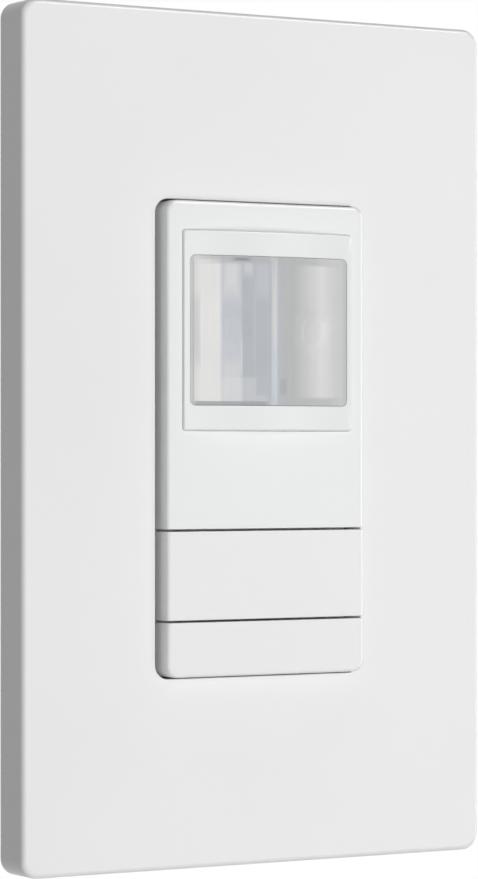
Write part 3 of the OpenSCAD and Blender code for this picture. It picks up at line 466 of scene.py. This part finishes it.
# Cover plate: one skin from the rim over the rolled front edge, into the opening and back inside
def makeCover():
    cover = {"cornerRadius": 2.4, "edgeRoll": 0.9, "edgeSteps": 8, "wall": 2, "innerRadius": 1,
             "opening": (33.6, 66.34), "openingRadius": 2.1, "openingEdge": 0.14, "openingSteps": 4,
             "lipWall": 1.2, "lipDepth": 1, "stopRadius": 1.6, "stopSides": 24, "stopInset": 9.4,
             "stopDepth": 1.4, "ridgeLength": 12, "ridgeThick": 0.6, "ridgeReach": 0.9, "ridgeDepth": -0.8,
             "ridgeHeight": 30, "segments": 10}
    low, high = boxMm("cover_plate")
    size = high.x - low.x, high.z - low.z
    room = grown(size, -cover["wall"])
    front, back = low.y, high.y
    inside = front + cover["wall"]
    lipBack = inside + cover["lipDepth"]
    lip = grown(cover["opening"], cover["lipWall"])
    lipRadius = cover["openingRadius"] + cover["lipWall"]
    bm = bmesh.new()
    rim = outline(size, cover["cornerRadius"], back)
    rings = skin(bm, [
        rim, outline(size, cover["cornerRadius"], front),
        outline(cover["opening"], cover["openingRadius"], front),
        outline(cover["opening"], cover["openingRadius"], lipBack),
        outline(lip, lipRadius, lipBack), outline(lip, lipRadius, inside),
        outline(room, cover["innerRadius"], inside), outline(room, cover["innerRadius"], back),
        rim], cover["segments"])
    bmesh.ops.remove_doubles(bm, verts=bm.verts, dist=weld)
    roll(bm, rings[1], cover["edgeRoll"], cover["edgeSteps"])
    roll(bm, rings[2], cover["openingEdge"], cover["openingSteps"])
    # Stops that seat the cover on the sub plate, and the ridges that clip behind it
    for side in (-1, 1):
        for level in (-1, 0, 1):
            spot = Vector((side * (size[0] / 2 - cover["stopInset"]), inside + cover["stopDepth"] / 2,
                           level * (size[1] / 2 - cover["stopInset"])))
            bmesh.ops.create_cone(bm, cap_ends=True, segments=cover["stopSides"], depth=cover["stopDepth"],
                                  radius1=cover["stopRadius"], radius2=cover["stopRadius"],
                                  matrix=Matrix.Translation(spot) @ Matrix.Rotation(math.pi / 2, 4, "X"))
    reach = cover["ridgeReach"]
    ridges = [(side * (room[0] - reach) / 2, end * cover["ridgeHeight"], reach, cover["ridgeLength"])
              for side in (-1, 1) for end in (-1, 1)]
    ridges += [(0, end * (room[1] - reach) / 2, cover["ridgeLength"], reach) for end in (-1, 1)]
    for x, z, sizeX, sizeZ in ridges:
        bmesh.ops.create_cube(bm, size=1, matrix=Matrix.Translation((x, cover["ridgeDepth"], z))
                              @ Matrix.Diagonal((sizeX, cover["ridgeThick"], sizeZ, 1)))
    toPiece(bm, "coverPlate", "cover_plate")


# Cuts a mesh into upright strips and bows whatever lies ahead of a depth about an upright axis
def bow(bm, halfWidth, radius, ahead, step=0.8):
    for i in range(-int(halfWidth / step), int(halfWidth / step) + 1):
        cutAt(bm, (i * step, 0, 0), (1, 0, 0))
    for v in bm.verts:
        if v.co.y < ahead:
            v.co.y += radius - math.sqrt(radius * radius - v.co.x * v.co.x)


# Lens frame, and the place that it leaves for the lens
bezel = {"height": 15, "size": (27.42, 27.72), "radius": 0.3, "rim": 0.69, "crest": -10.45, "rimFront": -7,
         "rimBack": -6.2, "edgeRoll": 0.36, "edgeSteps": 4, "holeRoll": 0.2, "holeSteps": 3,
         "bowRadius": 74.61, "bowAhead": -8, "lensSize": (25.56, 20.66), "lensRadius": 0.85, "lensGap": 0.02,
         "segments": 6}


# Lens frame: a bowed panel with a hole for the lens and a rim that holds it behind the fascia
def makeBezel():
    hole = grown(bezel["lensSize"], bezel["lensGap"])
    holeRadius = bezel["lensRadius"] + bezel["lensGap"]
    rimSize = grown(bezel["size"], bezel["rim"])
    rimRadius = bezel["radius"] + bezel["rim"]
    z = bezel["height"]
    bm = bmesh.new()
    back = outline(rimSize, rimRadius, bezel["rimBack"], z)
    rings = skin(bm, [
        back, outline(rimSize, rimRadius, bezel["rimFront"], z),
        outline(bezel["size"], bezel["radius"], bezel["rimFront"], z),
        outline(bezel["size"], bezel["radius"], bezel["crest"], z),
        outline(hole, holeRadius, bezel["crest"], z), outline(hole, holeRadius, bezel["rimBack"], z),
        back], bezel["segments"])
    bmesh.ops.remove_doubles(bm, verts=bm.verts, dist=weld)
    roll(bm, rings[3], bezel["edgeRoll"], bezel["edgeSteps"])
    roll(bm, rings[4], bezel["holeRoll"], bezel["holeSteps"])
    bow(bm, bezel["size"][0] / 2, bezel["bowRadius"], bezel["bowAhead"])
    toPiece(bm, "lensFrame", "lens_frame")


# One lens panel: a saw-tooth profile spun about the middle of its rings and cropped to its half. The rings
# get closer and then shallower outwards, and those too fine to show are left flat
def ringedPanel(lens, side, crest):
    z = bezel["height"]
    right, top = (length / 2 - lens["panelInset"] for length in bezel["lensSize"])
    reach = math.hypot(*bezel["lensSize"])
    edges = [lens["firstRing"] * math.sqrt(ring) for ring in range(lens["rings"] + 1)]
    profile = [(0, 0)]
    for ring in range(lens["rings"]):
        outside = edges[ring + 1]
        wide = outside - edges[ring]
        depth = lens["ringDepth"] * min(1, (lens["rings"] - ring) / lens["ringsFading"])
        profile += [(outside - lens["ringReturn"] * wide, depth), (outside, 0)]
    profile += [(reach, 0), (reach, lens["panelThick"]), (0, lens["panelThick"])]
    panel = bmesh.new()
    middle = Vector((side * lens["ringCentre"], crest, z))
    spinProfile(panel, middle, profile, turns=1, steps=lens["ringSteps"])
    cutAt(panel, (side * lens["ribHalf"], 0, 0), (-side, 0, 0), clear=True)
    cutAt(panel, (side * right, 0, 0), (side, 0, 0), clear=True)
    cutAt(panel, (0, 0, z + top), (0, 0, 1), clear=True)
    cutAt(panel, (0, 0, z - top), (0, 0, -1), clear=True)
    return panel


# Fresnel lens: a bowed tray of sheet that rolls into its frame, two ringed panels and the rib between them
def makeLens():
    lens = {"wall": 1, "innerRadius": 0.3, "rim": 0.75, "recess": 0.05, "back": -5.4, "edgeRoll": 0.08,
            "edgeSteps": 6, "segments": 6, "panelInset": 0.5, "panelSink": 0.06, "panelThick": 0.3,
            "firstRing": 1.2, "rings": 9, "ringsFading": 6, "ringDepth": 0.042, "ringReturn": 0.3,
            "ringCentre": 6.4, "ringSteps": 96, "ribHalf": 0.5, "ribRise": 0.07, "ribSides": 24}
    z = bezel["height"]
    size = bezel["lensSize"]
    inner = grown(size, -lens["wall"])
    flange = grown(size, lens["rim"])
    flangeRadius = bezel["lensRadius"] + lens["rim"]
    crest = bezel["crest"] + lens["recess"]
    bm = bmesh.new()
    rings = skin(bm, [
        outline(inner, lens["innerRadius"], crest + lens["wall"], z),
        outline(inner, lens["innerRadius"], lens["back"], z),
        outline(flange, flangeRadius, lens["back"], z), outline(flange, flangeRadius, bezel["rimBack"], z),
        outline(size, bezel["lensRadius"], bezel["rimBack"], z),
        outline(size, bezel["lensRadius"], crest + lens["panelSink"], z)], lens["segments"])
    bmesh.ops.edgeloop_fill(bm, edges=rings[0])
    bmesh.ops.edgeloop_fill(bm, edges=rings[-1])
    roll(bm, rings[-1], lens["edgeRoll"], lens["edgeSteps"])
    for side in (-1, 1):
        joinInto(bm, ringedPanel(lens, side, crest))
    bmesh.ops.create_cone(bm, cap_ends=True, segments=lens["ribSides"], radius1=1, radius2=1,
                          depth=size[1] - 2 * lens["panelInset"], matrix=Matrix.Translation((0, crest, z))
                          @ Matrix.Diagonal((lens["ribHalf"], lens["ribRise"], 1, 1)))
    bow(bm, size[0] / 2, bezel["bowRadius"] - lens["recess"], bezel["bowAhead"])
    toPiece(bm, "fresnelLens", "fresnel_lens", smoothAngle=4)


# Copy of a CAD solid with its triangles merged into faces: near is in mm, flat in degrees
def mergedCopy(node, near=0.002, flat=1):
    bm = bmesh.new()
    bm.from_mesh(nodes[node].data)
    bmesh.ops.scale(bm, vec=(1 / mm, 1 / mm, 1 / mm), verts=bm.verts)
    bmesh.ops.remove_doubles(bm, verts=bm.verts, dist=near)
    bmesh.ops.dissolve_limit(bm, angle_limit=math.radians(flat), verts=bm.verts, edges=bm.edges)
    return bm


def sharpEdges(bm, angle=40):
    return [e for e in bm.edges if len(e.link_faces) == 2 and e.calc_face_angle(0) > math.radians(angle)]


def makeEased(name, node, easing):
    bm = mergedCopy(node)
    roll(bm, sharpEdges(bm), easing, segments=2)
    toPiece(bm, name, node)


# How far a point lies past the core of a rounded outline, whose corners turn about the core's corners
def pastCore(point, coreX, coreZ):
    nearX = max(-coreX, min(coreX, point.x))
    nearZ = max(-coreZ, min(coreZ, point.z))
    return Vector((point.x - nearX, 0, point.z - nearZ))


# Part of the nose: its front roll is drawn wider along the right and the top, and its edges are eased
def makeNosePart(name, node):
    nose = {"cornerRadius": 1.7, "rollDepth": 0.46, "rightGain": 1.2, "topGain": 0.9, "easing": 0.12}
    radius = nose["cornerRadius"]
    keyLow, keyHigh = boxMm("lower_key")  # its right side and bottom are the nose's own
    coreX, coreZ = keyHigh.x - radius, -keyLow.z - radius
    bm = mergedCopy(node)
    front = min(v.co.y for v in bm.verts)
    for v in bm.verts:
        away = pastCore(v.co, coreX, coreZ)
        inset = radius - away.length
        if v.co.y < front + nose["rollDepth"] and 0 < inset < radius:
            away.normalize()
            gain = nose["rightGain"] * max(0, away.x) ** 2 + nose["topGain"] * max(0, away.z) ** 2
            v.co -= away * inset * gain * (1 - inset / radius)
    bm.normal_update()
    roll(bm, sharpEdges(bm), nose["easing"], segments=2)
    toPiece(bm, name, node)


# Rear housing: its walls are cut near the back, and the cuts moved in along a quarter circle
def makeRearHousing():
    rear = {"backRoll": 0.5, "cornerRadius": 2.5, "cuts": 5, "near": 0.02}
    high = boxMm("rear_housing")[1]
    bm = mergedCopy("rear_housing")
    start = high.y - rear["backRoll"]
    for i in range(rear["cuts"]):
        depth = start + rear["backRoll"] * math.sin(math.pi / 2 * i / rear["cuts"])
        cutAt(bm, (0, depth, 0), (0, 1, 0))
    for v in bm.verts:
        away = pastCore(v.co, high.x - rear["cornerRadius"], high.z - rear["cornerRadius"])
        along = (v.co.y - start) / rear["backRoll"]
        if along > 0 and away.length > rear["cornerRadius"] - rear["near"]:
            v.co -= away.normalized() * rear["backRoll"] * (1 - math.sqrt(max(0, 1 - along * along)))
    toPiece(bm, "rearHousing", "rear_housing")


# Screws above and below the middle: the CAD heads, cut off at a depth, on shanks with a real helical thread
def makeThreaded(name, node, cutDepth, height):
    thread = {"crest": 1.75, "root": 1.3, "pitch": 0.794, "crestShare": 0.24, "rootShare": 0.12, "steps": 32,
              "spareTurns": 3}
    tip = boxMm(node)[1].y
    crest, root, pitch = thread["crest"], thread["root"], thread["pitch"]
    crestHalf, rootHalf = thread["crestShare"] * pitch / 2, thread["rootShare"] * pitch / 2
    profile = [(crest, 0), (crest, crestHalf), (root, pitch / 2 - rootHalf), (root, pitch / 2 + rootHalf),
               (crest, pitch - crestHalf), (crest, pitch)]
    turns = int((tip - cutDepth) / pitch) + thread["spareTurns"]
    bm = mergedCopy(node)
    cutAt(bm, (0, cutDepth, 0), (0, 1, 0), clear=True)
    for side in (-1, 1):
        spot = Vector((0, cutDepth - thread["spareTurns"] / 2 * pitch, side * height))
        shank = bmesh.new()
        spinProfile(shank, spot, profile, turns, thread["steps"], lead=pitch)
        cutAt(shank, (0, cutDepth, 0), (0, -1, 0), clear=True)
        cutAt(shank, (0, tip, 0), (0, 1, 0), clear=True)
        joinInto(bm, shank)
    toPiece(bm, name, node)


makeCover()
makeBezel()
makeLens()
makeNosePart("frontHousing", "front_housing")
makeNosePart("onOffButton", "on_off_button")
makeNosePart("lowerKey", "lower_key")
makeEased("strapPlate", "strap", easing=0.15)
makeEased("subPlate", "sub_plate", easing=0.15)
makeEased("leadBushes", "lead_bushes", easing=0.2)
makeEased("housingScrews", "housing_screws", easing=0.1)
makeRearHousing()
makeThreaded("boxScrews", "box_screws", cutDepth=0, height=41.65)
makeThreaded("plateScrews", "sub_plate_screws", cutDepth=-1.9, height=48.4)

# Everything that the CAD solids still show gets its finish
for subpart in frame["record"]["subparts"]:
    cad = nodes[subpart["node"]]
    cad.data.materials.clear()
    cad.data.materials.append(materials[subpart["material_slot"]])

# Camera, from a perspective fit to the photo's edge lines: spot in mm, and the last three in pixels
view = {"yaw": 30.97, "spot": (-260.1, -434.4, -2.17), "focalLength": 3574, "imageHeight": 879,
        "horizonBelow": 15.1}
cameraData = bpy.data.cameras.new("camera")
cameraData.sensor_width = 36
cameraData.lens = view["focalLength"] / view["imageHeight"] * cameraData.sensor_width
cameraData.shift_y = view["horizonBelow"] / view["imageHeight"]
cameraData.clip_start = 0.01
camera = bpy.data.objects.new("camera", cameraData)
camera.location = Vector(view["spot"]) * mm
yaw = math.radians(view["yaw"])
camera.rotation_euler = Vector((math.sin(yaw), math.cos(yaw), 0)).to_track_quat("-Z", "Y").to_euler()
bpy.context.scene.collection.objects.link(camera)
bpy.context.scene.camera = camera

# Soft boxes that only show as sheen and as highlights along the rolled edges: spot, width and height in
# metres, and power in watts
softBoxes = {
    "front left": ((0.107, -0.762, 0), 0.14, 0.7, 0.75),
    "front right": ((0.453, -0.623, 0), 0.2, 0.7, 1),
    "right": ((0.745, -0.255, 0), 0.2, 0.6, 3.2),
    "overhead": ((0.36, -0.42, 0.53), 0.5, 0.3, 3.5),
}
for name, (spot, width, height, power) in softBoxes.items():
    lampData = bpy.data.lights.new(name, "AREA")
    lampData.shape = "RECTANGLE"
    lampData.size = width
    lampData.size_y = height
    lampData.energy = power
    lamp = bpy.data.objects.new(name, lampData)
    lamp.location = spot
    lamp.rotation_euler = (-Vector(spot)).to_track_quat("-Z", "Y").to_euler()
    lamp.visible_diffuse = False
    bpy.context.scene.collection.objects.link(lamp)


# 1 where the camera, a reflection or a view through glass meets the stage
def seenDirectly(tree):
    path = addNode(tree, "LightPath")
    either = addNode(tree, "Math", {0: path.outputs["Is Camera Ray"], 1: path.outputs["Is Glossy Ray"]},
                     operation="MAXIMUM")
    return addNode(tree, "Math", {0: either.outputs["Value"], 1: path.outputs["Is Transmission Ray"]},
                   operation="MAXIMUM").outputs["Value"]


# World: soft light from lobes in front, on the left and behind (direction, narrowness and strength), and
# plain white where the camera, gloss or glass looks past the object
studio = {"around": 0.09, "lobes": [((-0.05, -0.992, -0.11), 10, 4.6), ((-0.96, -0.28, 0), 30, 0.85),
                                    ((0.6, 0.798, 0.05), 6, 2.6)]}
world = bpy.data.worlds.new("studio")
bpy.context.scene.world = world
world.use_nodes = True
sky = world.node_tree
sky.nodes.clear()
toward = addNode(sky, "TexCoord").outputs["Generated"]
level = studio["around"]
for source, narrow, strength in studio["lobes"]:
    along = addNode(sky, "VectorMath", {0: toward, 1: source}, operation="DOT_PRODUCT")
    ahead = addNode(sky, "Math", {0: along.outputs["Value"], 1: 0}, operation="MAXIMUM")
    lobe = addNode(sky, "Math", {0: ahead.outputs["Value"], 1: narrow}, operation="POWER")
    level = addNode(sky, "Math", {0: lobe.outputs["Value"], 1: strength, 2: level},
                    operation="MULTIPLY_ADD").outputs["Value"]
soft = addNode(sky, "Background", {"Color": (1, 1, 1, 1), "Strength": level})
white = addNode(sky, "Background", {"Color": (1, 1, 1, 1), "Strength": 1})
chosen = addNode(sky, "MixShader", {"Fac": seenDirectly(sky), 1: soft.outputs[0], 2: white.outputs[0]})
addNode(sky, "OutputWorld", {"Surface": chosen.outputs[0]})

# Floor below the switch, which hangs on a wall; it takes the shadow and fades into white towards its rim
ground = {"color": "#F2F2F2", "drop": 0.35, "radius": 0.35, "sides": 96, "fadeTo": 0.9, "shadowShare": 0.3,
          "clearShare": 0.02}
floorMesh = bpy.data.meshes.new("floor")
floorBm = bmesh.new()
bmesh.ops.create_circle(floorBm, cap_ends=True, segments=ground["sides"], radius=ground["radius"])
bmesh.ops.translate(floorBm, vec=(0, 0, cadBox[0][2] - ground["drop"]), verts=floorBm.verts)
floorBm.to_mesh(floorMesh)
floorBm.free()
floor = bpy.data.objects.new("floor", floorMesh)
bpy.context.scene.collection.objects.link(floor)
paper = bpy.data.materials.new("matt paper floor")
paper.use_nodes = True
sheet = paper.node_tree
sheet.nodes.clear()
matt = addNode(sheet, "BsdfDiffuse", {"Color": hexToLinear(ground["color"])})
glow = addNode(sheet, "Emission", {"Color": (1, 1, 1, 1), "Strength": 1})
spread = addNode(sheet, "TexCoord").outputs["Object"]
flat = addNode(sheet, "Mapping", {"Vector": spread, "Scale": (1, 1, 0)})
away = addNode(sheet, "VectorMath", {0: flat.outputs["Vector"]}, operation="LENGTH")
fade = addNode(sheet, "MapRange", {"Value": away.outputs["Value"],
                                   "From Max": ground["radius"] * ground["fadeTo"],
                                   "To Min": 1 - ground["shadowShare"], "To Max": 1 - ground["clearShare"]})
share = addNode(sheet, "Math", {0: seenDirectly(sheet), 1: fade.outputs["Result"]}, operation="MULTIPLY")
blend = addNode(sheet, "MixShader", {"Fac": share.outputs["Value"], 1: matt.outputs[0], 2: glow.outputs[0]})
addNode(sheet, "OutputMaterial", {"Surface": blend.outputs[0]})
floorMesh.materials.append(paper)

bpy.context.scene.view_settings.view_transform = "Standard"
print("stage: camera, four soft boxes, world and floor")
